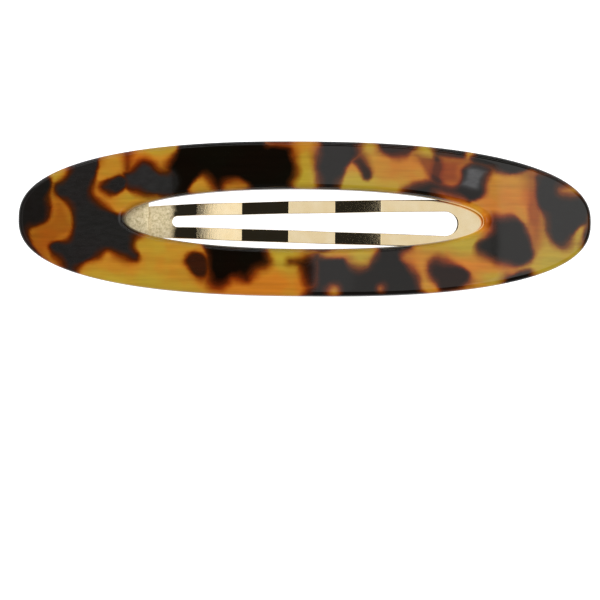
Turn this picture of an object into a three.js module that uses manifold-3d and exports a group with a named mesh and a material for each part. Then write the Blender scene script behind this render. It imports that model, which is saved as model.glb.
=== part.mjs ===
// Oval barrette: a bowed cellulose acetate ring glued over a slotted spring-steel snap clip.
// Frame: millimetres. X runs along the length (nose at -X, heel at +X), Y across, +Z out of the
// decorated front. The origin is the middle of the plane that the ring's two ends rest on.

import * as THREE from 'three';
import { ParametricGeometry } from 'three/addons/geometries/ParametricGeometry.js';
import { mergeVertices } from 'three/addons/utils/BufferGeometryUtils.js';
import Module from 'manifold-3d';

const manifoldLibrary = await Module();
manifoldLibrary.setup();

// ---------------------------------------------------------------- driving dimensions

const bowRadius = 196;            // radius of the lengthwise bow, at the back of the cover
const coverHalfLength = 39.9;     // flat blank, before bowing; 80 mm overall once bowed
const coverHalfWidth = 10.75;
const coverThickness = 2.6;
const outlineExponent = 2.45;     // superellipse exponent of the outer outline
const openingHalfLength = 24.95;
const openingHalfWidth = 4.15;
const openingExponent = 2.15;
const frontBevel = { width: 1.0, drop: 0.7 };
const rimBevel = { width: 0.85, drop: 1.3 };
const backBevel = 0.3;
const footStart = 39.0;           // from here outwards the back is ground flat, to stand steadily

const steelThickness = 0.4;
const glueLine = 0.35;            // from the cover's back down to the front of the steel
const glueGap = 0.05;             // bare film left on each side of an adhesive pad
const layerGap = 0.06;            // between steel layers that lie on each other
const clipOffsetY = -0.3;         // the clip is glued a little off the opening's centre line

const heelEnd = 30.2;
const hingeX = 26.0;              // root line of the tongue
const hingeGap = 0.3;
const tongueTip = -24.2;
const noseEdge = -21.8;           // edge of the nose plate, seen through the opening
const lowerTabEdge = -24.8;
const eyeletX = -27.6;
const eyelet = { barrel: 1.05, bore: 0.75, flange: 1.9, hole: 1.35, head: 0.2, roll: 0.25 };

const acetate = { color: 0xb8892c, roughness: 0.12, metalness: 0 };
const goldSteel = { color: 0xe3c893, roughness: 0.18, metalness: 1 };
const adhesive = { color: 0xe8e2cf, roughness: 0.45, metalness: 0 };

// ---------------------------------------------------------------- the bow

const restDrop = bowRadius * Math.cos(footStart / bowRadius);

// A point s along the flat blank and h in front of the cover's back, once the blank is bowed.
function bow(s, h) {
  const angle = s / bowRadius;
  return { x: (bowRadius + h) * Math.sin(angle), z: (bowRadius + h) * Math.cos(angle) - restDrop };
}

// Stations along the length where every bowed sheet has its facet edges. The heel is one flat facet.
const heelFlatStart = 26.3;
const heelFlatEnd = 31.2;
const noseStation = -31.2;
const stationCount = 26;
const stations = [];
for (let i = 0; i <= stationCount; i += 1) {
  stations.push(noseStation + (heelFlatStart - noseStation) * i / stationCount);
}
stations.push(heelFlatEnd);

// ---------------------------------------------------------------- solids

function toManifold(geometry) {
  const bare = geometry.clone();
  bare.deleteAttribute('normal');
  bare.deleteAttribute('uv');
  const merged = mergeVertices(bare, 1e-4);
  return new manifoldLibrary.Manifold(new manifoldLibrary.Mesh({
    numProp: 3,
    vertProperties: new Float32Array(merged.attributes.position.array),
    triVerts: new Uint32Array(merged.index.array),
  }));
}

function toGeometry(solid) {
  const mesh = solid.getMesh();
  const geometry = new THREE.BufferGeometry();
  geometry.setAttribute('position', new THREE.BufferAttribute(mesh.vertProperties, 3));
  geometry.setIndex(new THREE.BufferAttribute(mesh.triVerts, 1));
  geometry.computeVertexNormals();
  return geometry;
}

function mesh(name, geometry, finish) {
  const piece = new THREE.Mesh(geometry, new THREE.MeshStandardMaterial(finish));
  piece.name = name;
  return piece;
}

// A sheet bowed like the cover. top is a function of s giving the height of its front face.
function bowedSheet(top, thickness, sheetStations = stations) {
  const profile = new THREE.Shape();
  const frontLine = sheetStations.map((s) => bow(s, top(s)));
  const backLine = sheetStations.map((s) => bow(s, top(s) - thickness)).reverse();
  profile.setFromPoints([...frontLine, ...backLine].map((p) => new THREE.Vector2(p.x, p.z)));
  const halfDepth = 14;
  const geometry = new THREE.ExtrudeGeometry(profile, { depth: 2 * halfDepth, bevelEnabled: false });
  geometry.rotateX(Math.PI / 2);
  geometry.translate(0, halfDepth, 0);
  return toManifold(geometry);
}

// An upright prism over a plan outline, tall enough to cut right through a bowed sheet.
function prism(shape) {
  const geometry = new THREE.ExtrudeGeometry(shape, { depth: 24, bevelEnabled: false, curveSegments: 14 });
  geometry.translate(0, clipOffsetY, -8);
  return toManifold(geometry);
}

// Points on a smooth edge through [x, y] pairs.
function edge(pairs, divisions) {
  return new THREE.SplineCurve(pairs.map(([x, y]) => new THREE.Vector2(x, y))).getPoints(divisions);
}

function shapeThrough(...runs) {
  return new THREE.Shape().setFromPoints(runs.flat());
}

function mirrored(points) {
  return points.map((p) => new THREE.Vector2(p.x, -p.y)).reverse();
}

// A rod square to the bowed steel where the eyelet goes.
function eyeletPlaced(geometry) {
  const seat = bow(eyeletX, 0);
  geometry.rotateX(Math.PI / 2);
  geometry.rotateY(eyeletX / bowRadius);
  geometry.translate(seat.x, clipOffsetY, seat.z);
  return geometry;
}

// ---------------------------------------------------------------- cover

function superellipse(halfLength, halfWidth, exponent, turn) {
  const c = Math.cos(turn);
  const s = Math.sin(turn);
  return new THREE.Vector2(
    halfLength * Math.sign(c) * Math.abs(c) ** (2 / exponent),
    halfWidth * Math.sign(s) * Math.abs(s) ** (2 / exponent),
  );
}

// The outline's own outward normal.
function superellipseNormal(halfLength, halfWidth, exponent, point) {
  const gradient = (value, half) => Math.sign(value) * Math.abs(value / half) ** (exponent - 1) / half;
  return new THREE.Vector2(gradient(point.x, halfLength), gradient(point.y, halfWidth)).normalize();
}

// Section of the ring, once round. across runs from 0 at the opening to 1 at the outer outline, and
// inset is how far each edge's own point is moved into the ring.
const quarters = [1 / 4, 2 / 4, 3 / 4];
const coverSection = [
  { across: 1, inset: 0, height: backBevel },
  { across: 1, inset: 0, height: coverThickness - frontBevel.drop },
  { across: 1, inset: 0.35 * frontBevel.width, height: coverThickness - 0.25 * frontBevel.drop },
  { across: 1, inset: frontBevel.width, height: coverThickness },
  ...quarters.toReversed().map((across) => ({ across, inset: rimBevel.width, height: coverThickness })),
  { across: 0, inset: rimBevel.width, height: coverThickness },
  { across: 0, inset: 0.3 * rimBevel.width, height: coverThickness - 0.3 * rimBevel.drop },
  { across: 0, inset: 0, height: coverThickness - rimBevel.drop },
  { across: 0, inset: 0, height: backBevel },
  { across: 0, inset: backBevel, height: 0 },
  ...quarters.map((across) => ({ across, inset: backBevel, height: 0 })),
  { across: 1, inset: backBevel, height: 0 },
];

function insetPoint(halfLength, halfWidth, exponent, turn, inset) {
  const point = superellipse(halfLength, halfWidth, exponent, turn);
  const normal = superellipseNormal(halfLength, halfWidth, exponent, point);
  return point.addScaledVector(normal, inset);
}

function coverPoint(turn, row) {
  const outer = insetPoint(coverHalfLength, coverHalfWidth, outlineExponent, turn, -row.inset);
  const inner = insetPoint(openingHalfLength, openingHalfWidth, openingExponent, turn, row.inset);
  const plan = inner.lerp(outer, row.across);
  const bowed = bow(plan.x, row.height);
  return new THREE.Vector3(bowed.x, plan.y, Math.max(bowed.z, 0));
}

function makeCover() {
  const around = 88;
  const geometry = new ParametricGeometry((u, v, target) => {
    const row = coverSection[Math.round(v * coverSection.length) % coverSection.length];
    target.copy(coverPoint(2 * Math.PI * u, row));
  }, around, coverSection.length);
  return toGeometry(toManifold(geometry));
}

// ---------------------------------------------------------------- clip frame

// Half-widths in plan. The window and the outside edge both swell towards the heel.
const outsideEdge = [[-26.5, 4.1], [-20, 5.1], [-10, 6.05], [0, 6.65], [10, 6.95], [19, 6.6], [25, 5.6]];
const windowEdge = [[-21, 3.45], [-16, 4.05], [-8, 4.6], [0, 4.85], [8, 5.0], [15, 4.85], [21, 4.3]];
// The -Y leg sweeps across the nose, so its inside edge starts close to the tongue.
const crossingEdge = [[noseEdge, -1.5], [-21, -2.1], [-19.7, -2.65], [-16, -3.7], [-8, -4.5]];

function clipOutside() {
  const rear = edge(outsideEdge, 30);
  const heelCap = edge([[25, 5.6], [28.6, 3.9], [heelEnd, 0], [28.6, -3.9], [25, -5.6]], 20).slice(1, -1);
  const noseEnd = [[-26.5, -4.1], [-29.6, -2.7], [-30.7, 0], [-29.6, 2.7], [-26.5, 4.1]];
  const noseCap = edge(noseEnd, 18).slice(1, -1);
  return shapeThrough(rear, heelCap, mirrored(rear), noseCap);
}

// The window's edge from the nose, round the heel end and back, on one side of the centre line.
function windowSide() {
  const corner = edge([[21, 4.3], [24.2, 3.75], [25.75, 3.1]], 8).slice(1);
  return [...edge(windowEdge, 28), ...corner, new THREE.Vector2(hingeX + hingeGap / 2, 2.5)];
}

// The front layer: heel, both legs and the nose plate, which is the end of the -Y leg.
function clipWindow() {
  const rear = windowSide();
  const front = mirrored(windowSide()).filter((p) => p.x > -8);
  const crossing = edge(crossingEdge, 16).reverse();
  const besideNose = [new THREE.Vector2(noseEdge, 3.0)];
  return shapeThrough(besideNose, rear, front, crossing);
}

// The +Y leg is cut free beside the nose plate and dips one layer to pass behind it.
function rearLegRelief() {
  return shapeThrough([
    new THREE.Vector2(noseEdge, 2.95),
    new THREE.Vector2(-20.9, 3.3),
    new THREE.Vector2(-20.9, 7),
    new THREE.Vector2(-26.6, 7),
    new THREE.Vector2(-26.6, 3.75),
    new THREE.Vector2(-25, 3.15),
  ]);
}

function lowerTab() {
  const outside = edge([[-20.2, 5.08], [-23, 4.7], [-26.5, 3.7], [-29.2, 2.3], [-29.9, 0]], 16);
  const round = edge([[-29.9, 0], [-29.2, -2.2], [-27.2, -2.95], [lowerTabEdge, -2.9]], 10).slice(1);
  const inside = [[lowerTabEdge, 2.2], [-24.2, 2.85], [-22, 3.25], [-20.2, 3.6]];
  return shapeThrough(outside, round, inside.map(([x, y]) => new THREE.Vector2(x, y)));
}

const frontLayer = () => -glueLine;
const lowerLayer = -glueLine - steelThickness - layerGap;

// Height of the +Y leg's front face: level along the leg, one layer lower behind the nose plate.
function dippingLeg(s) {
  const dipStart = -21.3;
  const dipEnd = -24.3;
  const along = THREE.MathUtils.clamp((dipStart - s) / (dipStart - dipEnd), 0, 1);
  return THREE.MathUtils.lerp(-glueLine, lowerLayer, along);
}

function makeClipFrame() {
  const eyeletHole = eyeletPlaced(new THREE.CylinderGeometry(eyelet.hole, eyelet.hole, 8, 32));
  const front = bowedSheet(frontLayer, steelThickness)
    .intersect(prism(clipOutside()))
    .subtract(prism(clipWindow()))
    .subtract(prism(rearLegRelief()));
  const rearTab = bowedSheet(dippingLeg, steelThickness)
    .intersect(prism(lowerTab()));
  return toGeometry(front.add(rearTab).subtract(toManifold(eyeletHole)));
}

// ---------------------------------------------------------------- clip tongue

const tongueEdge = [
  [hingeX - hingeGap / 2, 2.3], [23.6, 2.45], [21.6, 2.95], [18.6, 3.32], [10.5, 3.16],
  [-3.5, 2.85], [-16.8, 2.4], [-21.6, 2.15],
];

// Crimps: [s, height of the front face]. Peaks rise into the opening, the tip dips under the nose plate.
const crimps = [
  [-24.6, -0.83], [-18.9, -0.83], [-15.2, -0.02], [-8.7, -0.82], [-2.3, -0.3],
  [4.2, -0.85], [10.7, -0.28], [18.9, -0.6], [26.4, -0.35],
];
const slot = { tipX: -17.74, tipRadius: 0.76, rootX: 19.6, rootRadius: 1.71 };

function tongueOutline() {
  const rear = edge(tongueEdge, 40);
  const roundTip = [[-21.6, 2.15], [-23.4, 1.55], [tongueTip, 0], [-23.4, -1.55], [-21.6, -2.15]];
  const cap = edge(roundTip, 14).slice(1, -1);
  return shapeThrough(rear, cap, mirrored(rear));
}

// A slot between two unequal half circles, with the straight sides tangent to both.
function tongueSlot() {
  const lean = Math.asin((slot.rootRadius - slot.tipRadius) / (slot.rootX - slot.tipX));
  const quarter = Math.PI / 2;
  const shape = new THREE.Shape();
  shape.absarc(slot.rootX, 0, slot.rootRadius, -quarter - lean, quarter + lean, false);
  shape.absarc(slot.tipX, 0, slot.tipRadius, quarter + lean, 3 * quarter - lean, false);
  return shape;
}

function makeClipTongue() {
  const heights = new Map(crimps);
  const sheet = bowedSheet((s) => heights.get(s), steelThickness, crimps.map(([s]) => s));
  return toGeometry(sheet.intersect(prism(tongueOutline())).subtract(prism(tongueSlot())));
}

// ---------------------------------------------------------------- eyelet

function makeEyelet() {
  const headFront = -glueLine + layerGap + eyelet.head;
  const headBack = -glueLine + layerGap;
  const rollFront = lowerLayer - steelThickness - layerGap;
  const rollBack = rollFront - eyelet.roll;
  const soft = 0.08;
  const section = [
    [eyelet.bore, rollBack], [eyelet.flange - soft, rollBack], [eyelet.flange, rollBack + soft],
    [eyelet.flange, rollFront], [eyelet.barrel, rollFront], [eyelet.barrel, headBack],
    [eyelet.flange, headBack], [eyelet.flange, headFront - soft], [eyelet.flange - soft, headFront],
    [eyelet.bore + soft, headFront], [eyelet.bore, headFront - soft], [eyelet.bore, rollBack],
  ];
  const lathe = new THREE.LatheGeometry(section.map(([r, h]) => new THREE.Vector2(r, h)), 32);
  return toGeometry(toManifold(eyeletPlaced(lathe)));
}

// ---------------------------------------------------------------- adhesive

function padSheet(shape) {
  return bowedSheet(() => -glueGap, glueLine - 2 * glueGap).intersect(prism(shape));
}

// A bead along the middle of one leg.
function makeLegAdhesive(side) {
  const margin = 0.4;
  const start = -17;
  const end = 20;
  const within = (p) => p.x >= start && p.x <= end;
  const outer = edge(outsideEdge, 60).filter(within).map((p) => new THREE.Vector2(p.x, p.y - margin));
  const inner = edge(windowEdge, 60).filter(within).map((p) => new THREE.Vector2(p.x, p.y + margin));
  const bead = [...outer, ...inner.reverse()];
  return toGeometry(padSheet(shapeThrough(bead.map((p) => new THREE.Vector2(p.x, side * p.y)))));
}

function makeHeelAdhesive() {
  const inner = edge([[26.5, 4.2], [27, 0], [26.5, -4.2]], 10);
  const outer = edge([[26.5, -4.2], [28.4, -3.1], [29.6, 0], [28.4, 3.1], [26.5, 4.2]], 16).slice(1, -1);
  return toGeometry(padSheet(shapeThrough(inner, outer)));
}

// The nose pad is squeezed out round the eyelet's head.
function makeNoseAdhesive() {
  const clearance = eyelet.flange + 0.25;
  const outline = edge([
    [-25.75, -3.35], [-28.6, -2.95], [-30.3, 0], [-28.6, 2.95], [-25.75, 3.35],
  ], 20);
  const head = eyeletPlaced(new THREE.CylinderGeometry(clearance, clearance, 8, 32));
  return toGeometry(padSheet(shapeThrough(outline)).subtract(toManifold(head)));
}

// ---------------------------------------------------------------- assembly

const barrette = new THREE.Group();
barrette.add(
  mesh('cover', makeCover(), acetate),
  mesh('clip_frame', makeClipFrame(), goldSteel),
  mesh('clip_tongue', makeClipTongue(), goldSteel),
  mesh('eyelet', makeEyelet(), goldSteel),
  mesh('adhesive_nose', makeNoseAdhesive(), adhesive),
  mesh('adhesive_heel', makeHeelAdhesive(), adhesive),
  mesh('adhesive_leg_rear', makeLegAdhesive(1), adhesive),
  mesh('adhesive_leg_front', makeLegAdhesive(-1), adhesive),
);

export default barrette;
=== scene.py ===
"""Oval tortoiseshell barrette: fine surfaces, materials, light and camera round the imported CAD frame."""
import math

import bmesh
import bpy
import numpy as np
from mathutils import Matrix, Vector


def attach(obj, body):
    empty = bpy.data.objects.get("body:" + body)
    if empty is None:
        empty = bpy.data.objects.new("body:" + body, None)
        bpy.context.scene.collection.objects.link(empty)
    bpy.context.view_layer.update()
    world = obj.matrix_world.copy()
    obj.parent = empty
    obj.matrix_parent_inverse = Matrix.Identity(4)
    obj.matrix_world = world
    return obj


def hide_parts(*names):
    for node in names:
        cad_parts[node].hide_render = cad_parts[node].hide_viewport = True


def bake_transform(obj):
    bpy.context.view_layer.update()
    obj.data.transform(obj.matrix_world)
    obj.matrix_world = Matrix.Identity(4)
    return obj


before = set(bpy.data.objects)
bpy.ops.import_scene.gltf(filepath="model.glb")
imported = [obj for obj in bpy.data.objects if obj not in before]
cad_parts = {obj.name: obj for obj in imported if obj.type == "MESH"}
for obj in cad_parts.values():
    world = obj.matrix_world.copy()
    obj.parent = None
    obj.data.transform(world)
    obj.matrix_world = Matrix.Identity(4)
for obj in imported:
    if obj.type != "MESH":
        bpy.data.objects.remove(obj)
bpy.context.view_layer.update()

MM = 0.001

# ---------------------------------------------------------------- driving dimensions, in millimetres

BOW_RADIUS = 196.0
COVER_HALF_LENGTH = 39.9
COVER_HALF_WIDTH = 10.75
COVER_THICKNESS = 2.6
OUTLINE_EXPONENT = 2.45
OPENING_HALF_LENGTH = 24.95
OPENING_HALF_WIDTH = 4.15
OPENING_EXPONENT = 2.15
FRONT_BEVEL_WIDTH = 1.0
FRONT_BEVEL_DROP = 0.7
RIM_BEVEL_WIDTH = 0.85
RIM_BEVEL_DROP = 1.3
BACK_BEVEL = 0.3
FOOT_START = 39.0               # from here outwards the back is ground flat

STEEL = 0.4
STEEL_EDGE = 0.06
GLUE_LINE = 0.35
LAYER_GAP = 0.06
CLIP_OFFSET_Y = -0.3
HEEL_END = 30.2
HEEL_EDGE = 26.15
NOSE_EDGE = -21.8
LOWER_TAB_EDGE = -24.8
TONGUE_TIP = -24.2
EYELET_X = -27.6

REST_DROP = BOW_RADIUS * math.cos(FOOT_START / BOW_RADIUS)


# ---------------------------------------------------------------- curves

def bow(s, h):
    """A point s along the flat cover blank and h in front of its back, once bowed: (x, z)."""
    angle = s / BOW_RADIUS
    radius = BOW_RADIUS + h
    return radius * math.sin(angle), radius * math.cos(angle) - REST_DROP


def bowed_height(x, h):
    """Height of a sheet that lies h in front of the cover's back, over the plan position x."""
    return math.sqrt((BOW_RADIUS + h) ** 2 - x * x) - REST_DROP


def between(p1, p2, v1, v2, f):
    """The point a share f of the way from p1 to p2, on a curve that leaves by v1 and arrives by v2."""
    return (2 * p1 - 2 * p2 + v1 + v2) * f ** 3 + (-3 * p1 + 3 * p2 - 2 * v1 - v2) * f ** 2 + v1 * f + p1


def smooth_line(points, divisions):
    """Points on a smooth curve through the given ones."""
    p = [np.array(q, float) for q in points]
    last = len(p) - 1
    line = []
    for k in range(divisions + 1):
        t = last * k / divisions
        i = min(int(t), last - 1)
        f = t - i
        p0, p1, p2, p3 = p[max(i - 1, 0)], p[i], p[i + 1], p[min(i + 2, last)]
        line.append(tuple(between(p1, p2, (p2 - p0) / 2, (p3 - p1) / 2, f)))
    return line


def across_at(points, stations):
    """The curve's y at each station x, for a curve that runs one way along X."""
    dense = sorted((q[0], q[1]) for q in smooth_line(points, 400))
    xs, ys = zip(*dense)
    return [(x, float(np.interp(x, xs, ys))) for x in stations]


def evenly(line, count):
    """count points at even steps along a run of points."""
    p = np.array([(q[0], q[1]) for q in line], float)
    run = np.concatenate([[0], np.cumsum(np.linalg.norm(np.diff(p, axis=0), axis=1))])
    steps = np.linspace(0, run[-1], count)
    return [(float(np.interp(t, run, p[:, 0])), float(np.interp(t, run, p[:, 1]))) for t in steps]


def mirrored(line):
    return [(x, -y) for x, y in reversed(line)]


def arc(centre_x, radius, start, end, count):
    turns = np.linspace(math.radians(start), math.radians(end), count)
    return [(centre_x + radius * math.cos(t), radius * math.sin(t)) for t in turns]


# ---------------------------------------------------------------- meshes

def new_object(name, vertices, faces, sharp_degrees=None):
    """A mesh object from millimetre vertices, outward faces, smooth shaded."""
    mesh = bpy.data.meshes.new(name)
    mesh.from_pydata([[c * MM for c in v] for v in vertices], [], faces)
    mesh.validate()
    work = bmesh.new()
    work.from_mesh(mesh)
    bmesh.ops.recalc_face_normals(work, faces=work.faces)
    work.to_mesh(mesh)
    work.free()
    mesh.shade_smooth()
    if sharp_degrees is not None:
        mesh.set_sharp_from_angle(angle=math.radians(sharp_degrees))
    piece = bpy.data.objects.new(name, mesh)
    bpy.context.scene.collection.objects.link(piece)
    return piece


def ring_faces(around, section, closed):
    """Quads between section loops, closed round the ring or capped at its two ends."""
    faces = []
    for i in range(around if closed else around - 1):
        j = (i + 1) % around
        for k in range(section):
            m = (k + 1) % section
            faces.append((i * section + k, j * section + k, j * section + m, i * section + m))
    if not closed:
        faces.append(tuple(range(section)))
        faces.append(tuple(range((around - 1) * section, around * section)))
    return faces


def steel_section(width, thickness, edge, across):
    """Closed section of a sheet with softened edges: (distance in from the outer edge, height)."""
    slope = edge * (1 - math.sqrt(0.5))
    fractions = [k / across for k in range(1, across)]
    inner = width - edge
    top = [(edge + (inner - edge) * f, 0.0) for f in fractions]
    bottom = [(inner - (inner - edge) * f, -thickness) for f in fractions]
    return [
        (0, -edge), (slope, -slope), (edge, 0), *top, (inner, 0), (width - slope, -slope), (width, -edge),
        (width, -thickness + edge), (width - slope, -thickness + slope), (inner, -thickness), *bottom,
        (edge, -thickness), (slope, -thickness + slope), (0, -thickness + edge),
    ]


def sheet_band(outer, inner, front, thickness, edge=STEEL_EDGE, across=8, closed=True):
    """Vertices and faces of a bowed sheet between two matched edges. front(x) is its front height."""
    vertices = []
    for (ox, oy), (ix, iy) in zip(outer, inner):
        width = math.hypot(ix - ox, iy - oy)
        ux, uy = (ix - ox) / width, (iy - oy) / width
        soft = min(edge, width / 3)
        for inward, height in steel_section(width, thickness, soft, across):
            x = ox + ux * inward
            y = oy + uy * inward + CLIP_OFFSET_Y
            vertices.append((x, y, bowed_height(x, front(x) + height)))
    section = len(steel_section(1, thickness, 0.1, across))
    return vertices, ring_faces(len(outer), section, closed)


def joined(*parts):
    vertices = []
    faces = []
    for more_vertices, more_faces in parts:
        start = len(vertices)
        vertices += more_vertices
        faces += [tuple(i + start for i in face) for face in more_faces]
    return vertices, faces


# ---------------------------------------------------------------- cover

COVER_STEPS = 960
FACE_ROWS = 40


def superellipse(half_length, half_width, exponent, turn, inset):
    """Points on an oval at the given turns, moved out by inset along its normal."""
    c, s = np.cos(turn), np.sin(turn)
    x = half_length * np.copysign(np.abs(c) ** (2 / exponent), c)
    y = half_width * np.copysign(np.abs(s) ** (2 / exponent), s)
    nx = np.copysign(np.abs(x / half_length) ** (exponent - 1) / half_length, x)
    ny = np.copysign(np.abs(y / half_width) ** (exponent - 1) / half_width, y)
    size = np.hypot(nx, ny)
    return x + nx / size * inset, y + ny / size * inset


def outside(turn, inset):
    return superellipse(COVER_HALF_LENGTH, COVER_HALF_WIDTH, OUTLINE_EXPONENT, turn, -inset)


def opening(turn, inset):
    return superellipse(OPENING_HALF_LENGTH, OPENING_HALF_WIDTH, OPENING_EXPONENT, turn, inset)


def even_turns(count):
    """Turns that step evenly round the outline."""
    dense = np.linspace(0, 2 * math.pi, 40001)
    x, y = outside(dense, 0)
    run = np.concatenate([[0], np.cumsum(np.hypot(np.diff(x), np.diff(y)))])
    return np.interp(np.linspace(0, run[-1], count, endpoint=False), run, dense)


def quarter_round(width, drop, steps):
    """Inset and drop along an elliptical edge, from the wall to the face."""
    turns = [math.pi / 2 * k / steps for k in range(steps + 1)]
    return [(width * (1 - math.cos(t)), drop * (1 - math.sin(t))) for t in turns]


def cover_section():
    """Rows of (across, inset, height), once round the ring's section."""
    top = COVER_THICKNESS
    front = quarter_round(FRONT_BEVEL_WIDTH, FRONT_BEVEL_DROP, 10)
    rim = quarter_round(RIM_BEVEL_WIDTH, RIM_BEVEL_DROP, 8)
    back = quarter_round(BACK_BEVEL, BACK_BEVEL, 4)
    face = [k / FACE_ROWS for k in range(1, FACE_ROWS)]
    rows = [(1, inset, top - drop) for inset, drop in front]
    rows += [
        (a, FRONT_BEVEL_WIDTH * a + RIM_BEVEL_WIDTH * (1 - a), top) for a in reversed(face)
    ]
    rows += [(0, inset, top - drop) for inset, drop in reversed(rim)]
    rows += [(0, 0, (top - RIM_BEVEL_DROP + BACK_BEVEL) / 2)]
    rows += [(0, inset, drop) for inset, drop in back]
    rows += [(a, BACK_BEVEL, 0) for a in face[1::2]]
    rows += [(1, inset, drop) for inset, drop in reversed(back)]
    rows += [(1, 0, top - FRONT_BEVEL_DROP - 1.0), (1, 0, top - FRONT_BEVEL_DROP - 0.5)]
    return rows


def make_cover():
    rows = cover_section()
    turns = even_turns(COVER_STEPS)
    grid = np.empty((COVER_STEPS, len(rows), 3))
    for k, (across, inset, height) in enumerate(rows):
        ox, oy = outside(turns, inset)
        ix, iy = opening(turns, inset)
        s = ix + (ox - ix) * across
        radius = BOW_RADIUS + height
        grid[:, k, 0] = radius * np.sin(s / BOW_RADIUS)
        grid[:, k, 1] = iy + (oy - iy) * across
        grid[:, k, 2] = np.maximum(radius * np.cos(s / BOW_RADIUS) - REST_DROP, 0)
    return new_object("cover_shell", grid.reshape(-1, 3).tolist(), ring_faces(COVER_STEPS, len(rows), True))


# ---------------------------------------------------------------- clip frame

OUTSIDE_EDGE = [(-26.5, 4.1), (-20, 5.1), (-10, 6.05), (0, 6.65), (10, 6.95), (19, 6.6), (25, 5.6)]
WINDOW_EDGE = [(-21, 3.45), (-16, 4.05), (-8, 4.6), (0, 4.85), (8, 5.0), (15, 4.85), (21, 4.3)]
CROSSING_EDGE = [(NOSE_EDGE, -1.5), (-21, -2.1), (-19.7, -2.65), (-16, -3.7), (-8, -4.5)]
HEEL_CORNER = [(21, 4.3), (24.2, 3.75), (25.75, 3.1), (HEEL_EDGE, 2.5)]
FRONT_LAYER = -GLUE_LINE
LOWER_LAYER = -GLUE_LINE - STEEL - LAYER_GAP
DIP_START = -21.3
DIP_END = -24.3


def dipping_leg(x):
    """Front height of the +Y leg: level along the leg, one layer lower behind the nose plate."""
    along = min(max((DIP_START - x) / (DIP_START - DIP_END), 0), 1)
    eased = along * along * (3 - 2 * along)
    return FRONT_LAYER + (LOWER_LAYER - FRONT_LAYER) * eased


def front_layer_edges():
    """Matched outside and window edges of the C-shaped front layer, from the +Y leg round to the nose."""
    leg = list(np.linspace(-20.9, 21, 130))
    outer = across_at(OUTSIDE_EDGE, leg)
    inner = across_at(WINDOW_EDGE, leg)
    heel_steps = 90
    shoulder = across_at(OUTSIDE_EDGE, np.linspace(21, 25, 20))
    cap = smooth_line([(25, 5.6), (28.6, 3.9), (HEEL_END, 0), (28.6, -3.9), (25, -5.6)], 60)
    outer += evenly(shoulder + cap[1:-1] + mirrored(shoulder), heel_steps)[1:-1]
    corner = smooth_line(HEEL_CORNER, 20)
    inner += evenly(corner + mirrored(corner), heel_steps)[1:-1]
    back = list(np.linspace(21, -8, 90))
    outer += [(x, -y) for x, y in across_at(OUTSIDE_EDGE, back)]
    inner += [(x, -y) for x, y in across_at(WINDOW_EDGE, back)]
    crossing = smooth_line(CROSSING_EDGE, 50)[-2::-1]
    outer += [(x, -y) for x, y in across_at(OUTSIDE_EDGE, [x for x, _ in crossing])]
    inner += crossing
    nose_steps = 60
    taper = [(x, -y) for x, y in across_at(OUTSIDE_EDGE, np.linspace(NOSE_EDGE, -26.5, 20))]
    nose = smooth_line([(-26.5, -4.1), (-29.6, -2.7), (-30.7, 0), (-29.6, 2.7), (-26.6, 3.75)], 60)
    outer += evenly(taper + nose[1:], nose_steps)[1:]
    inner += evenly([(NOSE_EDGE, -1.5), (NOSE_EDGE, 2.95)], nose_steps)[1:]
    return outer, inner


def lower_tab_edges():
    flank = smooth_line([(-20.2, 5.08), (-23, 4.7), (-26.5, 3.7), (-29.2, 2.3), (-29.9, 0)], 40)
    tip = smooth_line([(-29.9, 0), (-29.2, -2.2), (-27.2, -2.95), (LOWER_TAB_EDGE, -2.9)], 30)
    hidden = [(-20.2, 3.6), (-22, 3.25), (-24.2, 2.85), (LOWER_TAB_EDGE, 2.2), (LOWER_TAB_EDGE, -2.4)]
    return evenly(flank + tip[1:], 90), evenly(hidden, 90)


def make_clip_frame():
    front = sheet_band(*front_layer_edges(), lambda x: FRONT_LAYER, STEEL, across=10, closed=False)
    tab = sheet_band(*lower_tab_edges(), dipping_leg, STEEL, across=10, closed=False)
    return new_object("clip_frame_steel", *joined(front, tab), sharp_degrees=50)


# ---------------------------------------------------------------- clip tongue

TONGUE_EDGE = [
    (HEEL_EDGE, 2.3), (23.6, 2.45), (21.6, 2.95), (18.6, 3.32), (10.5, 3.16), (-3.5, 2.85), (-16.8, 2.4),
    (-21.6, 2.15),
]
TIP_EDGE = [(-21.6, 2.15), (-23.4, 1.55), (TONGUE_TIP, 0), (-23.4, -1.55), (-21.6, -2.15)]
SLOT_TIP_X, SLOT_TIP_RADIUS = -17.74, 0.76
SLOT_ROOT_X, SLOT_ROOT_RADIUS = 19.6, 1.71
# Crimps: where, how high the front face is there, and how far the bend is spread each way.
CRIMPS = [
    (-24.6, -0.83, 0.1), (-18.9, -0.83, 1.7), (-15.2, -0.02, 0.1), (-8.7, -0.82, 0.1), (-2.3, -0.3, 0.1),
    (4.2, -0.85, 0.1), (10.7, -0.28, 0.1), (18.9, -0.6, 0.4), (26.4, -0.35, 0.1),
]

# Extra stations on each side of a bend, so that it comes out round.
BEND_STEPS = (-0.15, -0.1, -0.05, 0, 0.05, 0.1, 0.15)


def crimped(x):
    """Height of the tongue's front face, its bends rounded."""
    xs = [c[0] for c in CRIMPS]
    hs = [c[1] for c in CRIMPS]
    height = float(np.interp(x, xs, hs))
    for k in range(1, len(CRIMPS) - 1):
        spread = CRIMPS[k][2]
        offset = abs(x - xs[k])
        if offset < spread:
            before = (hs[k] - hs[k - 1]) / (xs[k] - xs[k - 1])
            after = (hs[k + 1] - hs[k]) / (xs[k + 1] - xs[k])
            height += (after - before) / (4 * spread) * (spread - offset) ** 2
    return height


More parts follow.
